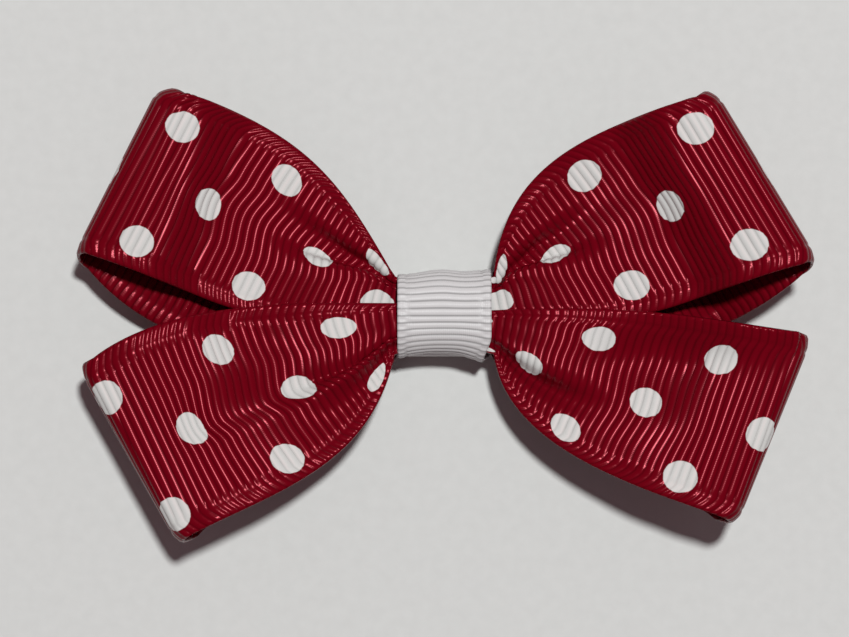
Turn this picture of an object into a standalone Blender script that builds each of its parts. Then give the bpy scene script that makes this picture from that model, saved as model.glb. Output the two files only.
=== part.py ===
"""Hair bow: two figure-of-eight ribbons pinched at the centre, a centre wrap, and an alligator clip behind.

Metres, +Z up. The bow lies on its clip, face up, with its width along X. Dimensions below are in
millimetres and are scaled once, where each mesh is made.
"""
from math import cos, pi, radians, sin

import bpy
import numpy as np

MM = 0.001

# --- driving dimensions ------------------------------------------------------------------------
RIBBON_THICK = 0.5      # grosgrain, with its two faces of rib
WRAP_THICK = 0.45
GAP = 0.3               # between plies that rest on each other
KNOT_HALF = 5.2         # half width of the centre wrap along X
FOLD_RADIUS = 1.6
ROWS_ACROSS = 13        # points across the ribbon width
PLEAT = 1.4             # height of the pleats under the wrap
PLY_BASE = {"upper_back": 4.6, "lower_back": 5.4, "upper_front": 6.2, "lower_front": 7.0}
ORDER = ("upper_back", "lower_back", "upper_front", "lower_front")

PIN_X, PIN_Z = 14.0, 3.7
PIN_R, HOLE_R = 0.6, 0.85
SHEET_STEEL = 0.6
JAW_HALF = 4.0
JAW_SLOPE = 0.066       # rise of the top jaw from its tip towards the hinge
EAR_R = 1.1
WIRE_R = 0.22

# Fold corners in plan (upper, lower) with the height of the middle of the fold.
FOLDS = {
    ("upper", -1): ((-30.8, 24.8, 10.0), (-40.3, 6.3, 9.3)),
    ("upper", 1): ((29.3, 25.0, 12.4), (40.4, 6.5, 13.6)),
    ("lower", -1): ((-39.9, -5.6, 11.2), (-29.3, -24.9, 10.6)),
    ("lower", 1): ((40.3, -2.4, 12.4), (32.0, -22.7, 11.9)),
}
# Plan handles of each selvage from fold to centre: two Bezier handles and the end at the wrap.
EDGES = {
    ("upper_front", -1): (((-15.0, 20.4), (-11.6, 15.0), (-5.5, 4.3)),
                          ((-23.3, 1.4), (-25.0, -2.6), (-5.2, -2.0))),
    ("upper_front", 1): (((17.9, 20.7), (6.6, 18.0), (5.5, 4.3)),
                         ((25.0, 1.8), (23.5, -2.8), (5.2, -2.0))),
    ("lower_front", -1): (((-29.9, 2.0), (-16.9, 1.4), (-5.2, 1.4)),
                          ((-19.2, -19.3), (-8.2, -17.2), (-5.5, -4.3))),
    ("lower_front", 1): (((25.3, 0.3), (19.8, 1.3), (5.2, 0.6)),
                         ((23.4, -19.3), (6.9, -15.4), (5.5, -4.3))),
    ("upper_back", -1): (((-18.0, 15.5), (-11.0, 13.0), (-5.2, 4.0)),
                         ((-30.0, -5.9), (-19.8, -3.9), (-5.2, -2.2))),
    ("upper_back", 1): (((18.5, 17.0), (8.5, 14.5), (5.2, 4.0)),
                        ((28.7, -4.8), (21.8, -3.6), (5.2, -2.2))),
    ("lower_back", -1): (((-28.0, -1.0), (-18.0, 0.4), (-5.2, 1.0)),
                         ((-20.6, -17.6), (-10.0, -15.0), (-5.2, -4.2))),
    ("lower_back", 1): (((26.0, -1.6), (19.8, -0.4), (5.2, 0.6)),
                        ((23.6, -17.6), (9.0, -13.6), (5.2, -4.2))),
}
# Selvage positions (upper, lower) at the middle of the bow.
CENTRE_Y = {"upper_front": (3.7, -1.6), "lower_front": (1.2, -3.6),
            "upper_back": (3.4, -1.4), "lower_back": (1.2, -3.5)}
# Slope of each ply along its length, at the fold and at the wrap (positive is upwards as it leaves).
SLOPES = {"front": (0.16, -0.42), "back": (-0.10, -0.34)}


# --- ribbon surface ----------------------------------------------------------------------------
def smooth(a, b, x):
    k = np.clip((x - a) / (b - a), 0, 1)
    return k * k * (3 - 2 * k)


def bezier(ctrl, s):
    """Points and unit directions at fractions s of the length of a cubic in plan."""
    ctrl = np.array(ctrl, float)

    def at(u):
        u = u[:, None]
        v = 1 - u
        return v**3 * ctrl[0] + 3 * v * v * u * ctrl[1] + 3 * v * u * u * ctrl[2] + u**3 * ctrl[3]

    u = np.linspace(0, 1, 401)
    length = np.r_[0, np.cumsum(np.linalg.norm(np.diff(at(u), axis=0), axis=1))]
    u = np.interp(np.asarray(s) * length[-1], length, u)
    step = at(np.minimum(u + 1e-3, 1)) - at(np.maximum(u - 1e-3, 0))
    return at(u), step / np.linalg.norm(step, axis=1)[:, None], length[-1]


def turned_to(direction, chord):
    """Unit normal of each direction, on the side that the chord points to."""
    normal = np.stack([-direction[:, 1], direction[:, 0]], 1)
    return normal * np.sign((normal * chord).sum(1))[:, None]


def across(top, bottom, top_dir, bottom_dir, fan, t):
    """Plan points of cross ribs that leave both selvages squarely: (stations, points across, 2)."""
    chord = bottom - top
    width = np.linalg.norm(chord, axis=1)[:, None]
    along = chord / width
    a = along + (turned_to(top_dir, chord) - along) * fan[:, None]
    b = along + (turned_to(bottom_dir, chord) - along) * fan[:, None]
    a, b = a * width, b * width
    t = t[None, :, None]
    return ((2 * t**3 - 3 * t**2 + 1) * top[:, None] + (t**3 - 2 * t**2 + t) * a[:, None]
            + (3 * t**2 - 2 * t**3) * bottom[:, None] + (t**3 - t**2) * b[:, None])


def pleat_height(distance):
    """Pleat height against distance from the wrap: full at the wrap, a little more just outside."""
    return PLEAT * (1 + distance / 6.0) * np.exp(-(distance / 9.0) ** 1.6)


def pleat_shape(layer, t, distance):
    """Ridges (1) and valleys (0) across the width; the first valley of the upper bow drifts outwards."""
    if layer == "lower":
        places, phases = [0, 0.28, 0.55, 0.80, 1], [0, 0.5, 1.0, 1.5, 1.9]
        phase = np.interp(t, places, phases)
        return 0.5 - 0.5 * np.cos(2 * pi * phase)
    valley = np.clip(0.20 + 0.016 * distance, 0.2, 0.36)
    rows = [np.interp(t, [0, v * 0.5, v, v + 0.24, v + 0.46, 1], [0.25, 0.5, 1, 1.5, 2, 2.5])
            for v in valley]
    return 0.5 - 0.5 * np.cos(2 * pi * np.array(rows))


def pinch(y):
    """Pleat height under the wrap, the same for all four plies so that they nest."""
    return PLEAT * (0.5 + 0.5 * np.cos(2 * pi * (y + 0.1) / 3.15)) * (1 - (y / 5.0) ** 2)


def fold_frame(layer, side):
    """Ends of the fold axis and the outward direction in plan."""
    top, bottom = (np.array(corner) for corner in FOLDS[layer, side])
    axis = (bottom - top)[:2]
    out = np.array([-axis[1], axis[0]]) / np.linalg.norm(axis)
    out *= np.sign(out[0]) * side
    inset = np.r_[out * FOLD_RADIUS, 0]
    return top - inset, bottom - inset, out


def ply(name, side, stations, t):
    """One ply from its fold to the edge of the wrap: (stations, points across, 3)."""
    layer, face = name.split("_")
    top, bottom, _ = fold_frame(layer, side)
    lift = FOLD_RADIUS if face == "front" else -FOLD_RADIUS
    upper, lower = EDGES[name, side]
    top_xy, top_dir, top_len = bezier((top[:2],) + upper, stations)
    bottom_xy, bottom_dir, bottom_len = bezier((bottom[:2],) + lower, stations)
    fan = smooth(0.0, 0.3, stations)
    xy = across(top_xy, bottom_xy, top_dir, bottom_dir, fan, t)
    s, v = stations[:, None], 1 - stations[:, None]
    length = 0.5 * (top_len + bottom_len)
    start = (top[2] + lift) + (bottom[2] - top[2]) * t[None]
    m0, m1 = SLOPES[face]
    z = (start * (1 + 2 * s) * v * v + PLY_BASE[name] * s * s * (3 - 2 * s)
         + length * (m0 * s * v * v - m1 * s * s * v))
    crown = (0.9 if face == "front" else -0.5) * np.sin(pi * stations)[:, None]
    z = z + crown * 4 * (t * (1 - t))[None]
    distance = (1 - stations) * length
    z = z + pleat_height(distance)[:, None] * pleat_shape(layer, t, distance)
    return np.dstack([xy, z])


def under_wrap(name, edge_row, side, steps, t, end_x):
    """The rest of a ply, from the edge of the wrap to end_x."""
    y0, y1 = CENTRE_Y[name]
    y = y0 + (y1 - y0) * t
    end = np.stack([np.full_like(t, side * end_x), y, PLY_BASE[name] + pinch(y)], 1)
    w = np.linspace(0, 1, steps + 1)[1:, None, None]
    rows = edge_row[None] + (end - edge_row)[None] * w
    return rows


class Ground:
    """Highest surface so far over a plan grid, spread outwards with a gentle slope."""

    CELL, SLOPE = 0.4, 0.45

    def __init__(self):
        self.z = np.full((240, 150), -50.0)

    def index(self, xy):
        return (np.clip(np.round(xy[..., 0] / self.CELL).astype(int) + 120, 0, 239),
                np.clip(np.round(xy[..., 1] / self.CELL).astype(int) + 75, 0, 149))

    def add(self, rows):
        np.maximum.at(self.z, self.index(rows), rows[..., 2])

    def spread(self):
        z, drop = self.z.copy(), self.SLOPE * self.CELL
        for step in range(45):
            fall = 0.0 if step < 2 else drop
            padded = np.pad(z, 1, mode="edge")
            for i, j in ((0, 1), (2, 1), (1, 0), (1, 2)):
                z = np.maximum(z, padded[i:i + 240, j:j + 150] - fall)
        return z

    def lifted(self, rows, clearance):
        field = self.spread()
        x, y = rows[..., 0] / self.CELL + 120, rows[..., 1] / self.CELL + 75
        i, j = np.clip(x.astype(int), 0, 238), np.clip(y.astype(int), 0, 148)
        fx, fy = np.clip(x - i, 0, 1), np.clip(y - j, 0, 1)
        floor = ((1 - fx) * (1 - fy) * field[i, j] + fx * (1 - fy) * field[i + 1, j]
                 + (1 - fx) * fy * field[i, j + 1] + fx * fy * field[i + 1, j + 1]) + clearance
        out = rows.copy()
        soft = 0.15
        gap = np.clip((out[..., 2] - floor) / soft, -40, 40)
        out[..., 2] = np.where(gap > 20, out[..., 2], floor + soft * np.log1p(np.exp(gap)))
        return out


def fold_rows(layer, side, steps, t):
    """Rows round the fold, from the front ply to the back ply, without the two ends."""
    top, bottom, out = fold_frame(layer, side)
    axis = top[None] + (bottom - top)[None] * t[:, None]
    rows = []
    for k in range(1, steps):
        a = pi * k / steps
        shift = np.r_[out * sin(a), cos(a)] * FOLD_RADIUS
        rows.append(axis + shift[None])
    return np.array(rows)


def ribbon_rows(along_ply, across_width, fold_steps, knot_steps):
    """Middle surface of both ribbons, end to end, as (stations, points across, 3)."""
    t = np.linspace(0, 1, across_width)
    stations = 1 - np.linspace(1, 0, along_ply) ** 1.15
    plies, ground = {}, Ground()
    for name in ORDER:
        for side in (-1, 1):
            rows = ply(name, side, stations, t)
            end_x = 0.35 if "front" in name else 0.0
            rows = np.concatenate([rows, under_wrap(name, rows[-1], side, knot_steps, t, end_x)])
            plies[name, side] = rows
        if name != ORDER[0]:
            for side in (-1, 1):
                plies[name, side] = ground.lifted(plies[name, side], RIBBON_THICK + GAP)
        for side in (-1, 1):
            fine = plies[name, side]
            for k in range(5):
                for m in range(5):
                    a, b = k / 5, m / 5
                    ground.add((1 - a) * (1 - b) * fine[:-1, :-1] + a * (1 - b) * fine[1:, :-1]
                               + (1 - a) * b * fine[:-1, 1:] + a * b * fine[1:, 1:])
    out = {}
    for layer in ("upper", "lower"):
        left_front = plies[layer + "_front", -1][::-1]
        left_back = plies[layer + "_back", -1]
        right_back = plies[layer + "_back", 1][::-1]
        right_front = plies[layer + "_front", 1]
        middle = 0.5 * (left_back[-1:] + right_back[:1])
        out[layer] = np.concatenate([
            left_front, fold_rows(layer, -1, fold_steps, t), left_back[:-1], middle,
            right_back[1:], fold_rows(layer, 1, fold_steps, t)[::-1], right_front])
    return out


# --- meshes ------------------------------------------------------------------------------------
def material(name, colour, metallic=0.0, roughness=0.7):
    found = bpy.data.materials.new(name)
    found.use_nodes = True
    shader = found.node_tree.nodes["Principled BSDF"]
    shader.inputs["Base Color"].default_value = (*colour, 1)
    shader.inputs["Metallic"].default_value = metallic
    shader.inputs["Roughness"].default_value = roughness
    return found


def node(name, points, faces, look, origin=(0.0, 0.0, 0.0)):
    """One named object; points in millimetres, origin on the joint axis of a moving piece."""
    points = (np.asarray(points, float) - np.array(origin)) * MM
    mesh = bpy.data.meshes.new(name)
    mesh.from_pydata(points.tolist(), [], [tuple(face) for face in faces])
    mesh.materials.append(look)
    obj = bpy.data.objects.new(name, mesh)
    obj.location = [value * MM for value in origin]
    bpy.context.collection.objects.link(obj)
    return obj


def sheet(rows, thickness):
    """Closed solid of even thickness about a middle surface."""
    along = np.gradient(rows, axis=0)
    side = np.gradient(rows, axis=1)
    normal = np.cross(along, side)
    normal /= np.linalg.norm(normal, axis=2)[..., None]
    n, m = rows.shape[:2]
    points = np.concatenate([(rows + normal * thickness / 2).reshape(-1, 3),
                             (rows - normal * thickness / 2).reshape(-1, 3)])
    faces = []
    for i in range(n - 1):
        for j in range(m - 1):
            a, b, c, d = i * m + j, (i + 1) * m + j, (i + 1) * m + j + 1, i * m + j + 1
            faces += [(a, b, c, d), (a + n * m, d + n * m, c + n * m, b + n * m)]
    rim = ([i * m for i in range(n)] + [(n - 1) * m + j for j in range(1, m)]
           + [i * m + m - 1 for i in range(n - 2, -1, -1)] + list(range(m - 2, 0, -1)))
    for a, b in zip(rim, rim[1:] + rim[:1]):
        faces.append((b, a, a + n * m, b + n * m))
    return points, faces


def tube(path, radius, sides=8):
    """Round wire or thread along an open path, with flat ends."""
    path = np.array(path, float)
    along = np.gradient(path, axis=0)
    along /= np.linalg.norm(along, axis=1)[:, None]
    ref = np.array([0.0, 1.0, 0.0])
    points = []
    for place, direction in zip(path, along):
        if abs(direction @ ref) > 0.95:
            ref = np.array([1.0, 0.0, 0.0])
        u = ref - direction * (direction @ ref)
        u /= np.linalg.norm(u)
        ref = u
        w = np.cross(direction, u)
        for k in range(sides):
            a = 2 * pi * k / sides
            points.append(place + radius * (u * cos(a) + w * sin(a)))
    n = len(path)
    faces = [tuple(range(sides))[::-1], tuple((n - 1) * sides + k for k in range(sides))]
    for i in range(n - 1):
        for k in range(sides):
            a, b = i * sides + k, i * sides + (k + 1) % sides
            faces.append((a, b, b + sides, a + sides))
    return points, faces


def slab(profile, y0, y1):
    """Profile in X and Z, anticlockwise seen from -Y, pushed from y0 to y1."""
    n = len(profile)
    points = [(x, y0, z) for x, z in profile] + [(x, y1, z) for x, z in profile]
    faces = [tuple(range(n)), tuple(range(2 * n - 1, n - 1, -1))]
    faces += [(k + n, (k + 1) % n + n, (k + 1) % n, k) for k in range(n)]
    return points, faces


def strip_profile(line, thickness):
    """Closed profile of bent sheet steel: an underside line and the same line raised."""
    line = np.array(line, float)
    slope = np.gradient(line, axis=0)
    normal = np.stack([-slope[:, 1], slope[:, 0]], 1)
    normal /= np.linalg.norm(normal, axis=1)[:, None]
    return [tuple(p) for p in line] + [tuple(p) for p in (line + normal * thickness)[::-1]]


def helper(name, points, faces):
    obj = node(name, points, faces, STEEL)
    obj.hide_render = True
    obj.display_type = "WIRE"
    return obj


def boolean(target, other, operation):
    modifier = target.modifiers.new(other.name, "BOOLEAN")
    modifier.object = other
    modifier.operation = operation
    modifier.solver = "EXACT"


def cylinder(radius, y0, y1, sides=24):
    ring = [(PIN_X + radius * cos(2 * pi * k / sides), PIN_Z + radius * sin(2 * pi * k / sides))
            for k in range(sides)]
    return slab(ring, y0, y1)


def ear(tip_side, root_z, y0, y1):
    """Ear round the hinge pin; tip_side is +1 where the ear rises and -1 where it hangs."""
    angles = np.linspace(0, pi, 11)
    arc = [(PIN_X + EAR_R * cos(a), PIN_Z + tip_side * EAR_R * sin(a)) for a in angles]
    profile = arc + [(PIN_X - EAR_R, root_z), (PIN_X + EAR_R, root_z)]
    return slab(profile if tip_side > 0 else profile[::-1], y0, y1)


# --- looks -------------------------------------------------------------------------------------
RED = material("red_grosgrain", (0.27, 0.006, 0.02))
RED_2 = material("red_grosgrain_lower", (0.27, 0.006, 0.02))
WHITE = material("white_grosgrain", (0.72, 0.70, 0.71))
THREAD = material("thread", (0.55, 0.02, 0.03), roughness=0.8)
GLUE = material("hot_glue", (0.75, 0.72, 0.62), roughness=0.35)
STEEL = material("plated_steel", (0.62, 0.62, 0.64), metallic=1.0, roughness=0.25)
STEEL_2 = material("plated_steel_jaw", (0.62, 0.62, 0.64), metallic=1.0, roughness=0.25)
PIN_LOOK = material("pin_steel", (0.55, 0.55, 0.57), metallic=1.0, roughness=0.3)
SPRING_LOOK = material("spring_steel", (0.45, 0.45, 0.47), metallic=1.0, roughness=0.3)

for item in list(bpy.data.objects):
    bpy.data.objects.remove(item, do_unlink=True)

# --- the two dotted ribbons --------------------------------------------------------------------
surfaces = ribbon_rows(along_ply=16, across_width=ROWS_ACROSS, fold_steps=6, knot_steps=4)
node("upper_ribbon", *sheet(surfaces["upper"], RIBBON_THICK), RED)
node("lower_ribbon", *sheet(surfaces["lower"], RIBBON_THICK), RED_2)


# --- centre wrap, thread and glue --------------------------------------------------------------
def oval(half_width, low, high, mid, low_power, high_power, count, start, sweep):
    """Rounded loop in Y and Z, evenly spaced, anticlockwise seen from +X."""
    a = np.linspace(start, start + sweep, 721)
    c, s = np.cos(a), np.sin(a)
    power = np.where(s < 0, low_power, high_power)
    y = half_width * np.sign(c) * np.abs(c) ** (2 / power)
    z = mid + np.where(s < 0, mid - low, high - mid) * np.sign(s) * np.abs(s) ** (2 / power)
    length = np.r_[0, np.cumsum(np.hypot(np.diff(y), np.diff(z)))]
    places = np.linspace(0, length[-1], count)
    return np.stack([np.interp(places, length, y), np.interp(places, length, z)], 1)


def wrap_rows(count, columns):
    """Middle surface of the centre wrap: a strip round the pinch and the top jaw, ends at the back."""
    rows = []
    for k in range(columns):
        x = -KNOT_HALF + 2 * KNOT_HALF * k / (columns - 1)
        flare = 0.16 * (x / KNOT_HALF) ** 2
        loop = oval(5.08 + flare * 1.2, 2.08 + JAW_SLOPE * x, 10.0 + flare * 1.2, 5.6, 7.0, 3.6, count,
                    -pi / 2 + 0.05, 2 * pi - 0.10)
        rows.append(np.column_stack([np.full(count, x), loop]))
    return np.array(rows).transpose(1, 0, 2)


node("centre_wrap", *sheet(wrap_rows(61, 7), WRAP_THICK), WHITE)

TURNS = 3
loop = oval(4.47, 4.0, 9.42, 6.5, 5.0, 3.4, 24 * TURNS + 1, -pi / 2, 2 * pi * TURNS)
pitch = np.linspace(-0.9, 0.9, len(loop))
node("gathering_thread", *tube(np.column_stack([pitch, loop]), 0.2, 6), THREAD)

angles = np.linspace(0, 2 * pi, 33)[:-1]
outline = [(3.7 * np.sign(cos(a)) * abs(cos(a)) ** 0.6, 3.0 * np.sign(sin(a)) * abs(sin(a)) ** 0.6)
           for a in angles]
low = [(x, y, 3.25 + JAW_SLOPE * x) for x, y in outline]
high = [(x * 0.94, y * 0.94, 3.63 + JAW_SLOPE * x * 0.94) for x, y in outline]
count = len(outline)
node("glue_pad", low + high,
     [tuple(range(count))[::-1], tuple(range(count, 2 * count))]
     + [(k, (k + 1) % count, (k + 1) % count + count, k + count) for k in range(count)], GLUE)

# --- alligator clip ----------------------------------------------------------------------------
top_line = [(-25.0, 0.85), (6.0, 2.9), (8.0, 3.3), (11.6, 5.15), (16.6, 5.2), (18.0, 5.4), (24.5, 6.7)]
jaw = node("clip_top_jaw", *slab(strip_profile(top_line, SHEET_STEEL), -JAW_HALF, JAW_HALF), STEEL)
for sign in (-1, 1):
    span = sorted((sign * (JAW_HALF - 0.55), sign * (JAW_HALF - 0.02)))
    boolean(jaw, helper(f"top_ear_{sign}", *ear(-1, 5.5, *span)), "UNION")
boolean(jaw, helper("top_hole", *cylinder(HOLE_R, -9, 9)), "DIFFERENCE")

low_line = [(-25.0, 0.0), (-21.5, 0.0), (11.6, 1.55), (16.4, 1.55), (21.5, 0.0), (25.5, 0.0)]
lower = node("clip_lower_jaw", *slab(strip_profile(low_line, SHEET_STEEL), -JAW_HALF, JAW_HALF),
             STEEL_2, origin=(PIN_X, 0.0, PIN_Z))
for sign in (-1, 1):
    span = sorted((sign * (JAW_HALF - 0.85), sign * (JAW_HALF - 1.35)))
    boolean(lower, helper(f"low_ear_{sign}", *ear(1, 1.8, *span)), "UNION")
boolean(lower, helper("low_hole", *cylinder(HOLE_R, -9, 9)), "DIFFERENCE")

# Pin: shank with a head at each end, turned about the hinge axis.
steps = [(PIN_R, -4.25), (1.0, -4.25), (1.0, -4.6), (0.0, -4.6)]
profile = [(0.0, 4.6), (1.0, 4.6), (1.0, 4.25), (PIN_R, 4.25)] + steps
SIDES = 20
points, faces = [], []
for r, y in profile[1:-1]:
    points += [(PIN_X + r * cos(2 * pi * k / SIDES), y, PIN_Z + r * sin(2 * pi * k / SIDES))
               for k in range(SIDES)]
for ring in range(len(profile) - 3):
    for k in range(SIDES):
        a, b = ring * SIDES + k, ring * SIDES + (k + 1) % SIDES
        faces.append((a, b, b + SIDES, a + SIDES))
last = (len(profile) - 3) * SIDES
faces += [tuple(range(SIDES))[::-1], tuple(last + k for k in range(SIDES))]
node("hinge_pin", points, faces, PIN_LOOK)

# Spring: a leg to each handle and a coil round the pin.
COIL_R = 1.07
COILS = 4.5
turn = np.linspace(0, COILS * 2 * pi, int(COILS * 16) + 1)
coil = [(PIN_X - COIL_R * sin(a), -1.6 + 3.2 * a / turn[-1], PIN_Z + COIL_R * cos(a)) for a in turn]
upper_leg = [(20.5, -1.6, 5.35), (18.0, -1.6, 4.93), (15.5, -1.6, 4.78)]
lower_leg = [(15.5, 1.6, 2.62), (18.0, 1.6, 2.3), (20.5, 1.6, 1.6)]
node("torsion_spring", *tube(upper_leg + coil + lower_leg, WIRE_R, 8), SPRING_LOOK)
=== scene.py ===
# %% [markdown]
# # A gathered ribbon hair bow
# The real thing is two lengths of dotted grosgrain ribbon, each bent into a figure of eight, pinched
# together with thread, glued to an alligator clip and finished with a short white wrap. The packed
# model gives the frame: where the clip, its hinge and the bulk of the ribbons are. This script makes
# the cloth, the thread and the spring that are seen, rounds the clip's edges and gives every piece
# its finish.

from math import cos, pi, radians, sin

import bpy
import numpy as np
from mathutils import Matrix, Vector


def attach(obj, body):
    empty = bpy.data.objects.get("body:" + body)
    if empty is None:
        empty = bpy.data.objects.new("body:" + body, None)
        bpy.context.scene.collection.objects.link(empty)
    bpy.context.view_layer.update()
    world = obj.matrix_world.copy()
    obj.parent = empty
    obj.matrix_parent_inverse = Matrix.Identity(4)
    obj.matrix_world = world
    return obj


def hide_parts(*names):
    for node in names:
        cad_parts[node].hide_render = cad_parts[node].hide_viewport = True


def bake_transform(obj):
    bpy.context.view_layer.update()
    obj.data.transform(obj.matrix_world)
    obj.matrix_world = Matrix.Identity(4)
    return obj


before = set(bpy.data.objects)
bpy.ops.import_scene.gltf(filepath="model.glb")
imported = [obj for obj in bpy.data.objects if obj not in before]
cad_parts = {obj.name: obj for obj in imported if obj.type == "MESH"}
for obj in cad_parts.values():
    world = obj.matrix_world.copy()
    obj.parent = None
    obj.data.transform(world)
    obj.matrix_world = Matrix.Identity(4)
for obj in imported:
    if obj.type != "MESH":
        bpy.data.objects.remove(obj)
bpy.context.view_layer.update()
MM = 0.001


def select_only(piece):
    """Operators act on what is selected, so everything else is let go first."""
    bpy.ops.object.select_all(action="DESELECT")
    piece.select_set(True)
    bpy.context.view_layer.objects.active = piece


# %% [markdown]
# ## The shape of a gathered ply
# A bow loop is one strip that leaves the pinch, turns back at a fold and returns underneath. Cloth
# barely stretches, so it can't be modelled as a bulging surface: each of its two selvages follows a
# curve, and the ribs between them leave both selvages squarely, like the sticks of a fan. Each ply is
# therefore written as a surface: a cubic curve for each selvage in plan, a height along it, and
# pleats that grow towards the pinch. A simulated cloth would fold where it likes, and this one has
# to lie as a hand arranged it. x runs along the bow, y across it and z up, and a side is -1 for the
# left-hand loops and 1 for the right-hand ones.

# %% Sizes of the two ribbons, in millimetres
RIBBON_WIDTH = 22.0
RIBBON_CORE = 0.26      # thickness without its ribs
RIB_PITCH = 0.94
RIB_HEIGHT = 0.14
PER_RIB = 6             # rows of points to each rib
PLEAT = 1.4             # height of the small gathers at the pinch
# Height of each ply at the pinch, and the order in which they are laid.
PLY_BASE = {"upper_back": 4.6, "lower_back": 5.4, "upper_front": 6.2, "lower_front": 7.0}
ORDER = ("upper_back", "lower_back", "upper_front", "lower_front")

# %% Where the folds and selvages run
# The plan and height of both corners of each fold: the middle of the bend, upper corner first.
FOLDS = {
    ("upper", -1): ((-31.2, 25.8, 8.4), (-40.4, 7.4, 9.3)),
    ("upper", 1): ((29.3, 25.0, 12.4), (40.4, 6.5, 13.6)),
    ("lower", -1): ((-40.3, -5.6, 10.0), (-29.3, -24.9, 10.6)),
    ("lower", 1): ((40.3, -2.4, 11.0), (32.0, -22.7, 11.9)),
}
# The other three control points of each selvage in plan, from the fold to the wrap.
EDGES = {
    ("upper_front", -1): (((-15.0, 20.4), (-11.6, 15.0), (-5.5, 4.3)),
                          ((-23.3, 1.6), (-25.0, -1.6), (-5.2, 0.2))),
    ("upper_front", 1): (((17.9, 20.7), (6.6, 18.0), (5.5, 4.3)),
                         ((25.0, 1.8), (23.5, -2.2), (5.2, 0.0))),
    ("lower_front", -1): (((-29.9, 2.0), (-16.9, 1.4), (-5.2, 1.4)),
                          ((-19.2, -19.3), (-8.2, -17.2), (-5.5, -4.3))),
    ("lower_front", 1): (((25.3, 0.3), (19.8, 1.3), (5.2, 0.6)),
                         ((23.4, -19.3), (6.9, -15.4), (5.5, -4.3))),
    ("upper_back", -1): (((-18.0, 15.5), (-11.0, 13.0), (-5.2, 4.0)),
                         ((-30.0, -5.9), (-19.8, -3.9), (-5.2, -2.2))),
    ("upper_back", 1): (((18.5, 17.0), (8.5, 14.5), (5.2, 4.0)),
                        ((28.7, -4.8), (21.8, -3.6), (5.2, -2.2))),
    ("lower_back", -1): (((-28.0, -1.0), (-18.0, 0.4), (-5.2, 1.0)),
                         ((-20.6, -17.6), (-10.0, -15.0), (-5.2, -4.2))),
    ("lower_back", 1): (((26.0, -1.6), (19.8, -0.4), (5.2, 0.6)),
                        ((23.6, -17.6), (9.0, -13.6), (5.2, -4.2))),
}
# Where the two selvages of each ply end at the middle of the pinch.
CENTRE_Y = {"upper_front": (3.7, 0.2), "lower_front": (1.0, -2.9),
            "upper_back": (3.4, -1.4), "lower_back": (1.2, -3.2)}

# %% Shape of the folds, and the steps of the plies
# Half the height of each fold at its upper and lower corner. In plan a fold turns more tightly.
RADII = {("upper", -1): (2.4, 2.6), ("upper", 1): (3.0, 2.8),
         ("lower", -1): (1.8, 3.6), ("lower", 1): (2.2, 3.2)}
FOLD_REACH = 1.3        # how far a fold stands out past the middle of its bend
# How far the upper and lower corners of each fold are drawn in, so that they look rounded.
ROUNDING = {("upper", -1): (1.7, 0.3), ("upper", 1): (0.9, 0.5),
            ("lower", -1): (0.6, 0.5), ("lower", 1): (0.5, 0.7)}
# How far below the front's lower corner the back's lower corner lies, along the fold.
SLANT = {("upper", -1): 1.6, ("upper", 1): 1.2, ("lower", -1): 0.6, ("lower", 1): 0.6}
# Where each front ply steps down from its fold: start, end and drop, for both selvages.
STEPS = {("upper", -1): ((5.2, 12.6, 4.0), (8.6, 15.2, 3.6)),
         ("upper", 1): ((7.4, 14.2, 4.8), (8.8, 14.8, 4.0)),
         ("lower", -1): ((12.0, 17.8, 2.7), (12.0, 22.0, 2.5)),
         ("lower", 1): ((8.0, 13.0, 2.2), (10.0, 18.0, 1.6))}
CROWN = 0.5             # rise of each front ply between its fold and its step
BACK_FLOOR = {"upper_back": 4.3, "lower_back": 5.2}     # how low each back ply sinks


# %% Curves and cross ribs
def smooth(a, b, x):
    """0 below a, 1 above b, and level at both."""
    k = np.clip((x - a) / (b - a), 0, 1)
    return k * k * (3 - 2 * k)


def bezier(ctrl, s):
    """Points, directions and length of a plan curve, at fractions s of its length."""
    ctrl = np.array(ctrl, float)

    def at(u):
        u = u[:, None]
        v = 1 - u
        return v**3 * ctrl[0] + 3 * v * v * u * ctrl[1] + 3 * v * u * u * ctrl[2] + u**3 * ctrl[3]

    u = np.linspace(0, 1, 801)
    length = np.r_[0, np.cumsum(np.linalg.norm(np.diff(at(u), axis=0), axis=1))]
    u = np.interp(np.asarray(s) * length[-1], length, u)
    step = at(np.minimum(u + 1e-3, 1)) - at(np.maximum(u - 1e-3, 0))
    return at(u), step / np.linalg.norm(step, axis=1)[:, None], length[-1]


def turned_to(direction, chord):
    """The directions square to a selvage, on the side that the chord points to."""
    normal = np.stack([-direction[:, 1], direction[:, 0]], 1)
    return normal * np.sign((normal * chord).sum(1))[:, None]


def across(top, bottom, top_dir, bottom_dir, fan, t):
    """Plan points of ribs that leave both selvages squarely. t has a row for each rib."""
    chord = bottom - top
    width = np.linalg.norm(chord, axis=1)[:, None]
    along = chord / width
    a = (along + (turned_to(top_dir, chord) - along) * fan[:, None]) * width
    b = (along + (turned_to(bottom_dir, chord) - along) * fan[:, None]) * width
    t = t[..., None]
    return ((2 * t**3 - 3 * t**2 + 1) * top[:, None] + (t**3 - 2 * t**2 + t) * a[:, None]
            + (3 * t**2 - 2 * t**3) * bottom[:, None] + (t**3 - t**2) * b[:, None])


# %% [markdown]
# ## Pleats
# The pinch gathers each front ply into broad tilted fields, like a sawtooth seen from the end: a
# field that rises gently, a quick drop into a crease, then a wall where the next roll stands over
# it. The gentle tilt is what lets every rib on a field catch the lamp along its whole length. Pleats
# drawn by bump alone would neither bend the ribs nor shade each other, so they move the surface.

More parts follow.
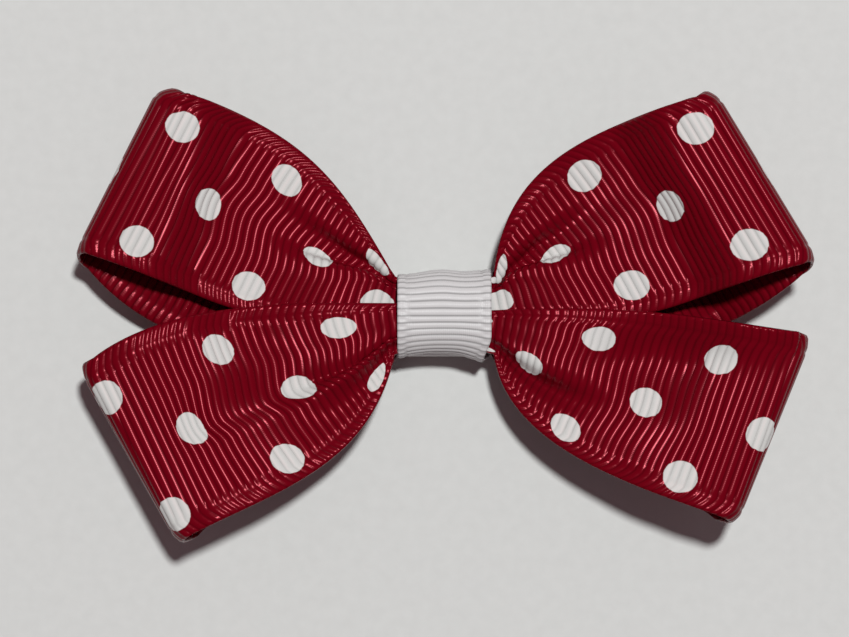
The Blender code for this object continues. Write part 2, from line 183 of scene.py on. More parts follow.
# %% Creases, walls and the tilt of the fields
# For each loop: the crease's place across the width at the wrap, how fast it moves for each
# millimetre from the wrap, the furthest it gets, the drop into it and the wall below it.
CREASES = {("upper", -1): (0.27, 0.006, 0.34, 1.9, 2.3), ("upper", 1): (0.28, 0.006, 0.34, 1.8, 2.2),
           ("lower", -1): (0.53, -0.002, 0.51, 0.3, 2.0), ("lower", 1): (0.60, 0.002, 0.62, 1.0, 0.8)}
FIELD_TILT = 0.117      # rise for each millimetre across, towards the lower selvage
STRIP = {"upper": 0.15, "lower": 0.02}  # width fraction between a crease and its wall
WALL = 0.095            # width fraction of cloth in the steep wall


def crease_rows(layer, side, distance):
    """For each row: the crease's place across the width, and the foot of the wall below it."""
    start, drift, furthest = CREASES[layer, side][:3]
    crease = np.clip(start + drift * distance, min(start, furthest), max(start, furthest))
    return crease[:, None], crease[:, None] + STRIP[layer]


def pleats(layer, face, side, t, distance):
    """Height of the pleats above the plain ply."""
    if face == "back":
        return 0.5 * PLEAT * np.exp(-(distance / 6.0) ** 1.5)[:, None] * (1 - np.cos(4 * pi * t))[None]
    drop, wall = CREASES[layer, side][3:]
    crease, foot = crease_rows(layer, side, distance)
    # The pleats are deepest a few millimetres from the wrap, and fade out along the loop.
    reach = ((0.5 + distance / 9.0) * np.exp(-(distance / 10.5) ** 3))[:, None]
    down = smooth(crease - 0.07, crease, t[None])
    up = smooth(foot, foot + WALL, t[None])
    return reach * (drop * (1 - down) + wall * up)


# %% Cloth taken up by the pleats
# Near the wrap the cloth is not spread evenly: width fractions in the cloth, and where they lie.
GATHER = {("upper", -1): ((0, 0.16, 0.30, 0.48, 0.73, 0.85, 1), (0, 0.04, 0.22, 0.36, 0.46, 0.80, 1)),
          ("upper", 1): ((0, 0.16, 0.30, 0.48, 0.73, 0.85, 1), (0, 0.10, 0.32, 0.40, 0.48, 0.82, 1)),
          ("lower", -1): ((0, 1), (0, 1)), ("lower", 1): ((0, 1), (0, 1))}


def eased(x, places, values):
    """Interpolation that is level at each place."""
    out = np.full_like(x, values[0], dtype=float)
    for i in range(len(places) - 1):
        out = out + (values[i + 1] - values[i]) * smooth(places[i], places[i + 1], x)
    return out


def tucked(layer, side, t, distance):
    """Width fractions in plan: the wall of a pleat takes almost no room seen from above."""
    _, foot = crease_rows(layer, side, distance)
    wall = CREASES[layer, side][4] / 2.2
    narrowed = 0.8 * WALL
    plan = (t[None] - narrowed * smooth(foot, foot + WALL, t[None])) / (1 - narrowed)
    share = wall * np.exp(-(distance / 11.0) ** 3)[:, None]
    gathered = np.interp(t, *GATHER[layer, side]) - t
    return t[None] + (plan - t[None]) * share + gathered[None] * np.exp(-(distance / 5.0) ** 2)[:, None]


def pinch(y):
    """Height of the gathers under the wrap."""
    return PLEAT * (0.5 + 0.5 * np.cos(2 * pi * (y + 0.1) / 3.15)) * (1 - (y / 5.0) ** 2)


# %% The fold of a loop
def fold_frame(layer, side):
    """Both ends of a fold's axis, and the direction in which the fold stands out."""
    top, bottom = (np.array(corner) for corner in FOLDS[layer, side])
    axis = (bottom - top)[:2]
    out = np.array([-axis[1], axis[0]]) / np.linalg.norm(axis)
    out *= np.sign(out[0]) * side
    inset = np.r_[out * FOLD_REACH, 0]
    return top - inset, bottom - inset, out


def drawn_in(layer, side, t):
    """How far the fold line is drawn in at width fractions t, which rounds its corners."""
    at_top, at_bottom = ROUNDING[layer, side]
    near_top, near_bottom = np.clip(1 - t / 0.10, 0, 1), np.clip(1 - (1 - t) / 0.08, 0, 1)
    return at_top * near_top ** 2 + at_bottom * near_bottom ** 2


def slanted(layer, side, top, bottom, share):
    """Step along the fold line from the front's place to the back's, for a share of the turn."""
    along = (bottom - top) * [1, 1, 0]
    return along / np.linalg.norm(along) * SLANT[layer, side] * share


def radius_at(layer, side, t):
    """Half the height of the fold at width fractions t."""
    r_top, r_bottom = RADII[layer, side]
    return r_top + (r_bottom - r_top) * t


# %% One ply, its hidden end and the rows of its fold
def ply(name, side, stations, t):
    """Points of one ply at fractions of its length from the fold and of its width."""
    layer, face = name.split("_")
    top, bottom, out = fold_frame(layer, side)
    radius = radius_at(layer, side, t)[None]
    if face == "back":
        bottom = bottom + slanted(layer, side, top, bottom, 1.0)
    upper, lower = EDGES[name, side]
    top_xy, top_dir, top_len = bezier((top[:2],) + upper, stations)
    bottom_xy, bottom_dir, bottom_len = bezier((bottom[:2],) + lower, stations)
    length = 0.5 * (top_len + bottom_len)
    distance = (1 - stations) * length
    plan_t = np.repeat(t[None], len(stations), 0)
    if face == "front":
        plan_t = tucked(layer, side, t, distance)
    xy = across(top_xy, bottom_xy, top_dir, bottom_dir, smooth(0.0, 0.3, stations), plan_t)
    from_fold = stations[:, None] * length
    xy = xy - (drawn_in(layer, side, t)[None] * np.exp(-from_fold / 2.5))[..., None] * out
    middle = top[2] + (bottom[2] - top[2]) * t[None]
    base = PLY_BASE[name]
    if face == "front":
        # Level at the fold, a step down, then a slope that settles on the pinch.
        (a0, b0, d0), (a1, b1, d1) = STEPS[layer, side]
        start = a0 + (a1 - a0) * t[None] - radius
        end = b0 + (b1 - b0) * t[None] - radius
        drop = d0 + (d1 - d0) * t[None]
        rest = middle + radius - base - drop
        settled = smooth(end - 5.0, length - 1.0, from_fold)
        z = base + rest * (1 - settled) + drop * (1 - smooth(start, end, from_fold))
        wide = np.linalg.norm(bottom_xy - top_xy, axis=1)[:, None]
        z = z + FIELD_TILT * wide * (plan_t - 0.5) * settled
        z = z + CROWN * np.sin(pi * np.clip(from_fold / start, 0, 1)) ** 2
    else:
        # Down towards the clip, and up again to the pinch.
        floor = BACK_FLOOR[name]
        sink = smooth(0.0, 15.0, from_fold)
        z = (middle - radius) * (1 - sink) + floor * sink
        z = z + (base - floor) * smooth(length - 10.0, length, from_fold)
    z = z + pleats(layer, face, side, t, distance)
    return np.dstack([xy, z])


def under_wrap(name, edge_row, side, steps, t, end_x):
    """Rows from a ply's last one to its hidden end in the pinch."""
    y0, y1 = CENTRE_Y[name]
    y = y0 + (y1 - y0) * t
    end = np.stack([np.full_like(t, side * end_x), y, PLY_BASE[name] + pinch(y)], 1)
    w = np.linspace(0, 1, steps + 1)[1:, None, None]
    return edge_row[None] + (end - edge_row)[None] * w


def fold_rows(layer, side, steps, t):
    """Rows round a fold, from its front ply to its back ply."""
    top, bottom, out = fold_frame(layer, side)
    axis = top[None] + (bottom - top)[None] * t[:, None]
    axis = axis - drawn_in(layer, side, t)[:, None] * np.r_[out, 0][None]
    angles = pi * np.arange(1, steps) / steps
    radius = radius_at(layer, side, t)[:, None]
    slants = [slanted(layer, side, top, bottom, (1 - cos(a)) / 2)[None] * t[:, None] for a in angles]
    return np.array([axis + np.r_[out * FOLD_REACH * sin(a), 0][None] + slant
                     + np.array([0, 0, cos(a)])[None] * radius for a, slant in zip(angles, slants)])


# %% [markdown]
# ## Letting one ply rest on another
# Where the lower loops lie over the upper ones the cloth is lifted, never passed through. A height
# grid of everything laid so far, spread outwards with a gentle slope, says how high the next ply has
# to be. The lift is worked out on coarse rows and then shared out smoothly over the fine ones. A
# shrinkwrap would press each rib flat on what is under it, and the cloth has to bridge instead.

# %% A height grid to rest on
class Ground:
    CELL, SLOPE, NX, NY = 0.4, 0.45, 240, 150
    CENTRE_X, CENTRE_Y, EMPTY = 120, 75, -50.0

    def __init__(self):
        self.z = np.full((self.NX, self.NY), self.EMPTY)

    def add(self, rows):
        """Raise the grid to a surface, with six points along each side of its faces."""
        for a in np.linspace(0, 1, 6):
            for b in np.linspace(0, 1, 6):
                p = ((1 - a) * (1 - b) * rows[:-1, :-1] + a * (1 - b) * rows[1:, :-1]
                     + (1 - a) * b * rows[:-1, 1:] + a * b * rows[1:, 1:])
                i = np.round(p[..., 0] / self.CELL).astype(int) + self.CENTRE_X
                j = np.round(p[..., 1] / self.CELL).astype(int) + self.CENTRE_Y
                i, j = np.clip(i, 0, self.NX - 1), np.clip(j, 0, self.NY - 1)
                np.maximum.at(self.z, (i, j), p[..., 2])

    def lift(self, rows, clearance, soft=0.15):
        """How far each point has to rise to clear the grid, with a soft start."""
        field = self.z
        for step in range(45):
            fall = 0.0 if step < 2 else self.SLOPE * self.CELL
            padded = np.pad(field, 1, mode="edge")
            for i, j in ((0, 1), (2, 1), (1, 0), (1, 2)):
                field = np.maximum(field, padded[i:i + self.NX, j:j + self.NY] - fall)
        x, y = rows[..., 0] / self.CELL + self.CENTRE_X, rows[..., 1] / self.CELL + self.CENTRE_Y
        i, j = np.clip(x.astype(int), 0, self.NX - 2), np.clip(y.astype(int), 0, self.NY - 2)
        fx, fy = np.clip(x - i, 0, 1), np.clip(y - j, 0, 1)
        floor = ((1 - fx) * (1 - fy) * field[i, j] + fx * (1 - fy) * field[i + 1, j]
                 + (1 - fx) * fy * field[i, j + 1] + fx * fy * field[i + 1, j + 1]) + clearance
        gap = np.clip((rows[..., 2] - floor) / soft, -40, 40)
        return np.where(gap > 20, 0.0, floor + soft * np.log1p(np.exp(gap)) - rows[..., 2])


def stations_of(count):
    """Fractions of a ply's length, closer together towards the wrap."""
    return 1 - np.linspace(1, 0, count) ** 1.15


def spread_rows(values, s_from, t_from, s_to, t_to):
    """Smooth resampling of a coarse grid of numbers."""
    wide = np.array([np.interp(t_to, t_from, row) for row in values])
    return np.array([np.interp(s_to, s_from, column) for column in wide.T]).T


# %% Lay the four plies of both sides, one on another
# Width fractions of the columns: close together at both selvages.
T = np.r_[0, 0.3, 0.6, 0.9, 1.2, 1.5, 1.75, 2.1, np.linspace(2.8, 19.2, 25), 19.9, 20.25, 20.5, 20.8,
          21.1, 21.4, 21.7, 22.0] / RIBBON_WIDTH
PLAIN = 7               # columns of each selvage
PLY_GAP = 0.78          # from the middle of one ply to the middle of the next
COARSE_T = np.linspace(0, 1, 17)
COARSE_S, FINE_S = stations_of(36), stations_of(150)
# The upper side of the clip's top jaw towards its handle, which the right loops lie on.
HANDLE_X, HANDLE_Z = (6.0, 8.0, 11.6, 16.6, 18.0, 24.8), (3.3, 3.7, 5.5, 5.6, 5.8, 7.15)
HANDLE_HALF = 4.2
plies, ground = {}, Ground()
x, y = np.meshgrid(np.linspace(HANDLE_X[0], HANDLE_X[-1], 48),
                   np.linspace(-HANDLE_HALF, HANDLE_HALF, 22), indexing="ij")
ground.add(np.dstack([x, y, np.interp(x, HANDLE_X, HANDLE_Z)]))
for name in ORDER:
    for side in (-1, 1):
        coarse = ply(name, side, COARSE_S, COARSE_T)
        lift = ground.lift(coarse, PLY_GAP)
        for _ in range(2):
            padded = np.pad(lift, 1, mode="edge")
            lift = 0.5 * lift + 0.125 * (padded[:-2, 1:-1] + padded[2:, 1:-1]
                                         + padded[1:-1, :-2] + padded[1:-1, 2:])
        if name == "lower_front":
            near_wrap = smooth(0.45, 0.8, COARSE_S)[:, None] * (1 - smooth(0.5, 0.8, COARSE_T))
            lift = lift + (lift.max(axis=1)[:, None] - lift) * near_wrap
        fine = ply(name, side, FINE_S, T)
        fine[..., 2] += spread_rows(lift, COARSE_S, COARSE_T, FINE_S, T)
        end_x = 0.35 if "front" in name else 0.0
        plies[name, side] = np.concatenate([fine, under_wrap(name, fine[-1], side, 14, T, end_x)])
    for side in (-1, 1):
        ground.add(plies[name, side])
print("plies:", {key: value.shape for key, value in plies.items()})


# %% [markdown]
# ## Ribs that keep their pitch
# Grosgrain's ribs are a constant distance apart along the cloth, so where a column of the surface
# climbs a pleat the ribs bend. Every column is therefore divided again by its true length from the
# fold, and the small differences in length are hidden under the wrap. An even subdivision would
# stretch the ribs wherever the cloth climbs, which reads as rubber.

# %% Divide each half of a ribbon by true length
# Where a pleat is pulled back the ribs lag behind: width fractions, and millimetres of lag.
LAG = {("upper", -1): ((0, 0.3, 0.48, 0.72, 1), (0.3, -0.2, -0.8, 0.1, 0.2)),
       ("upper", 1): ((0, 0.3, 0.48, 0.72, 1), (0.3, -0.2, -0.6, 0.1, 0.2)),
       ("lower", -1): ((0, 0.3, 0.54, 0.66, 1), (0.0, -0.5, -1.6, -0.5, 0.3)),
       ("lower", 1): ((0, 0.35, 0.6, 0.85, 1), (0.0, -0.1, -0.6, 0.1, 0.3))}


def by_length(rows, lag=((0, 1), (0, 0))):
    """rows start at the fold. Returns rows at even true length, that length and the rib count."""
    steps = np.linalg.norm(np.diff(rows, axis=0), axis=2)
    length = np.vstack([np.zeros(rows.shape[1]), np.cumsum(steps, axis=0)])
    total = float(length[-1].mean())
    ribs = round(total / RIB_PITCH)
    count = ribs * PER_RIB
    s = np.linspace(0, total, count + 1)
    # Differences in length go into the last 16 mm, and the lag into the middle of the loop.
    ease = smooth(total - 16, total - 1, s)
    pulled = smooth(6, 15, s) * (1 - smooth(total - 9, total - 4, s))
    lags = eased(T, *lag)
    out = np.empty((count + 1, rows.shape[1], 3))
    for column in range(rows.shape[1]):
        places = s + (length[-1, column] - total) * ease + lags[column] * pulled
        places = np.maximum.accumulate(places)
        for axis in range(3):
            out[:, column, axis] = np.interp(places, length[:, column], rows[:, column, axis])
    return out, s, ribs


def half_ribbon(layer, side):
    """From the hidden front end, round the fold, to the middle of the back."""
    bend = fold_rows(layer, side, 24, T)
    front = np.concatenate([bend[11::-1], plies[layer + "_front", side]])
    back = np.concatenate([bend[11:], plies[layer + "_back", side]])
    front, front_s, front_ribs = by_length(front, LAG[layer, side])
    back, back_s, back_ribs = by_length(back)
    rows = np.concatenate([front[::-1], back[1:]])
    s = np.r_[-front_s[::-1], back_s[1:]]
    phase = np.r_[-np.linspace(0, front_ribs, len(front_s))[::-1],
                  np.linspace(0, back_ribs, len(back_s))[1:]]
    return rows, s, phase


# %% [markdown]
# ## Dots
# The print is a five-spot pattern: pairs of dots and single dots in turn, about seven millimetres
# apart along the ribbon. It falls at a different place on each loop, so each loop has its own start,
# and its own small skew from being folded off square. The pattern's coordinates go in a second UV
# map, in millimetres of cloth, so that a dot bends over a pleat as real ink does.

# %% Where the print falls on each loop: start, centre line, skew, step
DOT_ROW = 7.3           # from the centre line to the dots of a pair
DOT_STEP = 7.05         # along the ribbon, from a pair to the next single dot
DOT_RADIUS = 1.86
PRINT = {
    ("upper", -1): (6.85, 11.4, 0.09, DOT_STEP),
    ("upper", 1): (7.1, 10.9, 0.10, 7.5),
    ("lower", -1): (3.15, 11.8, 0.09, DOT_STEP),
    ("lower", 1): (10.2, 11.9, -0.025, DOT_STEP),
}


# %% [markdown]
# ## Weave and cloth
# The ribs are thick enough to see, so they are in the mesh: round across, with a loop of yarn at
# each end where the weft turns back along the selvage. The loops slant, so the rows of each selvage
# run ahead of the ribs. Both ribbons and the wrap are closed by one function. A Solidify modifier
# would give the wall too, but not a relief that differs from row to row.

# %% Surface relief: ribs in the body, and slanting loops of weft along each selvage
SELVAGE = 1.75          # width of each looped edge
LEAN = 0.36             # ribs of slant for each millimetre


def rib_arch(phase):
    """A round rib for each whole number of the phase: 0 in the grooves, 1 on the crown."""
    return 1 - (2 * (phase - np.floor(phase)) - 1) ** 2


def lean(t):
    """How far the loops of the selvages run ahead of their ribs, in ribs."""
    edge = np.minimum(t, 1 - t) * RIBBON_WIDTH
    return LEAN * np.clip(SELVAGE - edge, 0, None)


def relief(phase, t):
    """Height of the weave above the core, 0 to 1, for rib phases and width fractions."""
    edge = np.minimum(t, 1 - t) * RIBBON_WIDTH
    furrow = 1 - 0.75 * np.exp(-((edge - SELVAGE) / 0.22) ** 2)
    return rib_arch(phase[:, None] + lean(t)[None]) * (smooth(0.0, 0.3, edge) * furrow)[None]


def cloth(name, rows, height, core, uv_main, uv_print, looks, grooves, plain):
    """A closed thin cloth: outer face, inner face and selvage rim, with its UV maps. Shading breaks
    along the rows that are grooves between ribs, except in the plain columns at each edge."""
    along, side = np.gradient(rows, axis=0), np.gradient(rows, axis=1)
    normal = np.cross(along, side)
    normal /= np.linalg.norm(normal, axis=2)[..., None] + 1e-12
    n, m = rows.shape[:2]
    offset = (core / 2 + height)[..., None]
    points = np.concatenate([(rows + normal * offset).reshape(-1, 3),
                             (rows - normal * offset).reshape(-1, 3)]) * MM
    grid = np.arange(n * m).reshape(n, m)
    a, b, c, d = (x.ravel() for x in (grid[:-1, :-1], grid[1:, :-1], grid[1:, 1:], grid[:-1, 1:]))
    outer = np.stack([a, b, c, d], 1)
    inner = np.stack([a, d, c, b], 1) + n * m
    rim = np.r_[grid[:, 0], grid[-1, 1:], grid[-2::-1, -1], grid[0, -2:0:-1]]
    nxt = np.roll(rim, -1)
    sides = np.stack([nxt, rim, rim + n * m, nxt + n * m], 1)
    faces = np.concatenate([outer, inner, sides])
    mesh = bpy.data.meshes.new(name)
    mesh.vertices.add(len(points))
    mesh.vertices.foreach_set("co", points.ravel())
    mesh.loops.add(faces.size)
    mesh.loops.foreach_set("vertex_index", faces.ravel())
    mesh.polygons.add(len(faces))
    mesh.polygons.foreach_set("loop_start", np.arange(0, faces.size, 4))
    mesh.polygons.foreach_set("loop_total", np.full(len(faces), 4))
    slots = np.r_[np.zeros(len(outer), int), np.ones(len(inner) + len(sides), int)]
    mesh.polygons.foreach_set("material_index", slots)
    mesh.polygons.foreach_set("use_smooth", np.ones(len(faces), bool))
    mesh.update(calc_edges=True)
    for label, uv in (("cloth", uv_main), ("print", uv_print)):
        layer = mesh.uv_layers.new(name=label)
        both = np.concatenate([uv.reshape(-1, 2)] * 2)
        layer.data.foreach_set("uv", both[faces.ravel()].ravel())
    for look in looks:
        mesh.materials.append(look)
    mesh.validate()
    ends = np.empty(len(mesh.edges) * 2, int)
    mesh.edges.foreach_get("vertices", ends)
    row, column = np.divmod(ends.reshape(-1, 2) % (n * m), m)
    inside = (column.min(axis=1) >= plain) & (column.max(axis=1) < m - plain)
    sharp = mesh.attributes.new("sharp_edge", "BOOLEAN", "EDGE")
    sharp.data.foreach_set("value", (row[:, 0] == row[:, 1]) & grooves[row[:, 0]] & inside)
    obj = bpy.data.objects.new(name, mesh)
    bpy.context.collection.objects.link(obj)
    return obj


# %% [markdown]
# ## Finishes
# The ribbon is dyed polyester: deep crimson, with a soft gloss on the crown of each rib. The fine
# yarn runs across the ribs. The same weave group serves the red and the white ribbon, and takes the
# cloth's own coordinates, so that the yarn follows every pleat. The grooves between the ribs get
# painted shade that darkens them towards black, less on the dots. The dots are pale ink, less glossy
# than the dyed yarn.

# %% Small helpers for shader nodes
def tree_of(look):
    look.use_nodes = True
    return look.node_tree


class Nodes:
    """Adds nodes to a tree and joins them in one call."""

    def __init__(self, tree):
        self.tree = tree

    def __call__(self, kind, inputs=(), **settings):
        made = self.tree.nodes.new(("" if kind.startswith("NodeGroup") else "ShaderNode") + kind)
        for key, value in settings.items():
            setattr(made, key, value)
        for key, value in dict(inputs).items():
            if isinstance(value, bpy.types.NodeSocket):
                self.tree.links.new(value, made.inputs[key])
            else:
                made.inputs[key].default_value = value
        return made

    def math(self, operation, a, b=0.0):
        return self("Math", {0: a, 1: b}, operation=operation).outputs[0]

    def ramp(self, value, low, high, to_low=0.0, to_high=1.0):
        """Smooth change from to_low to to_high, between two values."""
        made = self("MapRange", {"Value": value, "From Min": low, "From Max": high,
                                 "To Min": to_low, "To Max": to_high},
                    interpolation_type="SMOOTHSTEP")
        return made.outputs["Result"]

    def mix(self, factor, a, b, kind="MIX"):
        """Two colours, or colour sockets, joined by a factor."""
        made = self("Mix", {"Factor": factor}, data_type="RGBA", blend_type=kind)
        for socket, value in ((made.inputs[6], a), (made.inputs[7], b)):
            if isinstance(value, bpy.types.NodeSocket):
                self.tree.links.new(value, socket)
            else:
                socket.default_value = value
        return made.outputs[2]


def new_group(name, inputs, outputs):
    """An empty shader group, with what adds to it, its input node and its output node."""
    group = bpy.data.node_groups.new(name, "ShaderNodeTree")
    for label, kind, default in inputs:
        socket = group.interface.new_socket(label, in_out="INPUT", socket_type=kind)
        if default is not None:
            socket.default_value = default
    for label, kind in outputs:
        group.interface.new_socket(label, in_out="OUTPUT", socket_type=kind)
    add = Nodes(group)
    return group, add, add("NodeGroupInput"), add("NodeGroupOutput")


# %% Weave group: fine yarn along the ribbon over ribs across it
weave, add, entry, leave = new_group(
    "ribbed_weave",
    [("Cloth", "NodeSocketVector", None), ("Yarn", "NodeSocketFloat", 0.22),
     ("Unevenness", "NodeSocketFloat", 0.12)],
    [("Shade", "NodeSocketFloat"), ("Height", "NodeSocketFloat"), ("Groove", "NodeSocketFloat")])
place = add("SeparateXYZ", {0: entry.outputs["Cloth"]})
yarn_count = add.math("DIVIDE", place.outputs["Y"], entry.outputs["Yarn"])
wander = add("TexNoise", {"Vector": entry.outputs["Cloth"], "Scale": 0.9, "Detail": 3.0})
yarn_count = add.math("ADD", yarn_count, add.math("MULTIPLY", wander.outputs["Fac"], 1.4))
wave = add.math("SINE", add.math("MULTIPLY", yarn_count, 2 * pi))
fuzz = add("TexNoise", {"Vector": entry.outputs["Cloth"], "Scale": 6.0, "Detail": 4.0,
                        "Roughness": 0.65})
blotch = add("TexNoise", {"Vector": entry.outputs["Cloth"], "Scale": 0.25, "Detail": 2.0})
height = add.math("ADD", add.math("MULTIPLY", wave, 0.35), fuzz.outputs["Fac"])
shade = add.math("ADD", add.math("MULTIPLY", fuzz.outputs["Fac"], 0.6),
                 add.math("MULTIPLY", blotch.outputs["Fac"], 0.8))
shade = add.math("SUBTRACT", shade, 0.7)
shade = add.math("ADD", add.math("MULTIPLY", shade, entry.outputs["Unevenness"]), 1.0)
# Groove: a mask of the grooves between ribs, which the finishes darken with painted shade.
from_groove = add.math("ABSOLUTE", add.math("SUBTRACT", add.math("FRACT", add.math(
    "ADD", place.outputs["X"], 0.5)), 0.5))
groove = add.ramp(from_groove, 0.05, 0.2, 1.0, 0.0)
for label, value in (("Groove", groove), ("Shade", shade), ("Height", height)):
    weave.links.new(value, leave.inputs[label])

# %% Dot group: the five-spot print
dots, add, entry, leave = new_group(
    "five_spot_print",
    [("Print", "NodeSocketVector", None), ("Cloth", "NodeSocketVector", None),
     ("Radius", "NodeSocketFloat", DOT_RADIUS)],
    [("Mask", "NodeSocketFloat")])
place = add("SeparateXYZ", {0: entry.outputs["Print"]})
rough = add("TexNoise", {"Vector": entry.outputs["Cloth"], "Scale": 1.6, "Detail": 3.0})
bleed = add.math("MULTIPLY", add.math("SUBTRACT", rough.outputs["Fac"], 0.5), 0.22)


def spot(shift, row):
    """Distance to the nearest dot of one set; shift is in steps, row is from the centre line."""
    turn = add.math("MODULO", add.math("ADD", place.outputs["X"], 101.0 + shift), 2.0)
    x = add.math("MULTIPLY", add.math("SUBTRACT", turn, 1.0), DOT_STEP)
    y = add.math("SUBTRACT", add.math("ABSOLUTE", place.outputs["Y"]), row)
    return add.math("SQRT", add.math("ADD", add.math("POWER", x, 2.0), add.math("MULTIPLY", y, y)))


nearest = add.math("MINIMUM", spot(0.0, DOT_ROW), spot(1.0, 0.0))
nearest = add.math("ADD", nearest, bleed)
inside = add.math("SUBTRACT", entry.outputs["Radius"], nearest)
dots.links.new(add.ramp(inside, -0.05, 0.05), leave.inputs["Mask"])


# %% The printed, plain and white ribbon finishes
CRIMSON = (0.142, 0.0008, 0.006)
DOT_WHITE = (0.62, 0.615, 0.60)
DOT_ROUGHNESS = 0.5
# Painted shade in the grooves between ribs: how far it darkens the red, the dots and unprinted cloth.
PAINTED_GROOVE_SHADE = {"red": 0.26, "dot": 0.16, "unprinted": 0.42}


def finished(shader, tree, base, bump_strength, bump_height, bump_distance):
    """Join a base colour and a fine bump to a shader."""
    tree.links.new(base, shader.inputs["Base Color"])
    bump = Nodes(tree)("Bump", {"Strength": bump_strength, "Distance": bump_distance,
                                "Height": bump_height})
    tree.links.new(bump.outputs["Normal"], shader.inputs["Normal"])


def grosgrain(name, colour, printed, roughness, specular, tint, fuzz):
    look = bpy.data.materials.new(name)
    tree = tree_of(look)
    add = Nodes(tree)
    shader = tree.nodes["Principled BSDF"]
    shader.inputs["Specular IOR Level"].default_value = specular
    shader.inputs["Specular Tint"].default_value = (*tint, 1.0)
    shader.inputs["IOR"].default_value = 1.36
    cloth_uv = add("UVMap", uv_map="cloth")
    texture = add("Group", {"Cloth": cloth_uv.outputs["UV"]}, node_tree=weave)
    base, groove_shade = (*colour, 1.0), PAINTED_GROOVE_SHADE["unprinted"]
    if printed:
        print_uv = add("UVMap", uv_map="print")
        mark = add("Group", {"Print": print_uv.outputs["UV"], "Cloth": cloth_uv.outputs["UV"]},
                   node_tree=dots)
        mask = mark.outputs["Mask"]
        groove_shade = add.ramp(mask, 0.0, 1.0, PAINTED_GROOVE_SHADE["red"], PAINTED_GROOVE_SHADE["dot"])
        base = add.mix(mask, base, (*DOT_WHITE, 1.0))
        tree.links.new(add.ramp(mask, 0.0, 1.0, roughness, DOT_ROUGHNESS), shader.inputs["Roughness"])
    else:
        shader.inputs["Roughness"].default_value = roughness
    shade = texture.outputs["Shade"]
    grey = add("CombineColor", {0: shade, 1: shade, 2: shade})
    shaded = add.mix(1.0, base, grey.outputs[0], "MULTIPLY")
    # Painted shade: the grooves between the ribs are darkened towards black.
    with_groove_shade = add.mix(add.math("MULTIPLY", texture.outputs["Groove"], groove_shade), shaded, (0.0, 0.0, 0.0, 1.0))
    finished(shader, tree, with_groove_shade, fuzz, texture.outputs["Height"], 0.00004)
    return look


RED_PRINTED = grosgrain("crimson_grosgrain_printed", CRIMSON, True, 0.22, 0.33, (1.0, 0.22, 0.27), 0.05)
RED_PLAIN = grosgrain("crimson_grosgrain_back", CRIMSON, False, 0.24, 0.33, (1.0, 0.20, 0.25), 0.08)
WHITE = grosgrain("white_grosgrain", (0.62, 0.60, 0.605), False, 0.38, 0.35, (1.0, 1.0, 1.0), 0.3)

# %% [markdown]
# ## The two dotted ribbons
# Each ribbon is one strip: hidden front end, left fold, middle of the back, right fold, hidden end.
# Its two halves are made apart, the right one is turned round, and they are joined at the back.

# %% Make both ribbons
for layer in ("upper", "lower"):
    parts = []
    for side in (-1, 1):
        rows, s, phase = half_ribbon(layer, side)
        start, centre, skew, step = PRINT[layer, side]
        along = np.repeat(s[:, None], len(T), 1)
        wide = np.repeat(T[None] * RIBBON_WIDTH, len(s), 0)
        main = np.dstack([phase[:, None] + lean(T)[None], wide])
        pattern = np.dstack([-along - start - skew * (wide - centre), wide - centre])
        pattern[..., 0] /= step
        if side == 1:
            rows, main, pattern, phase = rows[::-1], main[::-1], pattern[::-1], phase[::-1]
        groove = np.abs(phase - np.round(phase)) < 1e-6
        parts.append((rows, main, pattern, relief(phase, T) * RIB_HEIGHT, groove))
    joined = [np.concatenate([parts[0][k][:-1], parts[1][k]]) for k in range(5)]
    rows, main, pattern, height, groove = joined
    piece = cloth(layer + "_dotted_ribbon", rows, height, RIBBON_CORE, main, pattern,
                  (RED_PRINTED, RED_PLAIN), groove, PLAIN)
    length = float(np.linalg.norm(np.diff(rows[:, len(T) // 2], axis=0), axis=1).sum())
    print(piece.name, "length mm:", round(length, 1), "triangles:", 2 * len(piece.data.polygons))
    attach(piece, "bow")
    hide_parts(layer + "_ribbon")

# %% [markdown]
# ## The white centre wrap
# A short piece of 10 mm ribbon goes round the pinch and the clip's top jaw, and its ends meet at the
# back. Its ribs lie along the bow. It follows the shape it is pulled over, so its edge waves a
# little. It could be a bevelled curve, but ribs with a true pitch need rows of their own, so it is a
# loop of points for each column across its width.

# %% An oval with flatter sides
def oval(half_width, low, high, mid, powers, count, open_at_foot=0.0):
    """Points round an oval from its foot, and its length. A power of 2 is round, more is squarer:
    one for below the middle height and one for above it."""
    start = -pi / 2 + open_at_foot
    a = np.linspace(start, start + 2 * pi - 2 * open_at_foot, 1441)
    c, s = np.cos(a), np.sin(a)
    power = np.where(s < 0, *powers)
    y = half_width * np.sign(c) * np.abs(c) ** (2 / power)
    z = mid + np.where(s < 0, mid - low, high - mid) * np.sign(s) * np.abs(s) ** (2 / power)
    length = np.r_[0, np.cumsum(np.hypot(np.diff(y), np.diff(z)))]
    places = np.linspace(0, length[-1], count)
    return np.stack([np.interp(places, length, y), np.interp(places, length, z)], 1), length[-1]


# %% Sizes of the wrap, in millimetres
KNOT_HALF = 5.2
WRAP_WIDTH = 2 * KNOT_HALF
CLIP_ROOM = 4.35        # half the wrap's width at the back, where it goes round the clip
WRAP_CORE = 0.22
WRAP_PITCH = 0.92
WRAP_RIB, WRAP_LOOP = 0.11, 0.09        # heights of its ribs and of its selvage loops
WRAP_PLAIN = 5          # columns of each selvage
WRAP_FOOT, WRAP_SLOPE = 2.08, 0.066     # under the clip's top jaw, which rises along the bow
WRAP_TOP, WRAP_MIDDLE, WRAP_POWERS = 10.0, 5.6, (7.0, 2.5)
SEAM = 0.05             # half the gap between its ends, in radians
COLUMNS = np.r_[0, 0.25, 0.5, 0.75, 1.0, 1.25, np.linspace(1.7, 8.7, 13), 9.15, 9.4, 9.65, 9.9, 10.15,
                WRAP_WIDTH] / WRAP_WIDTH
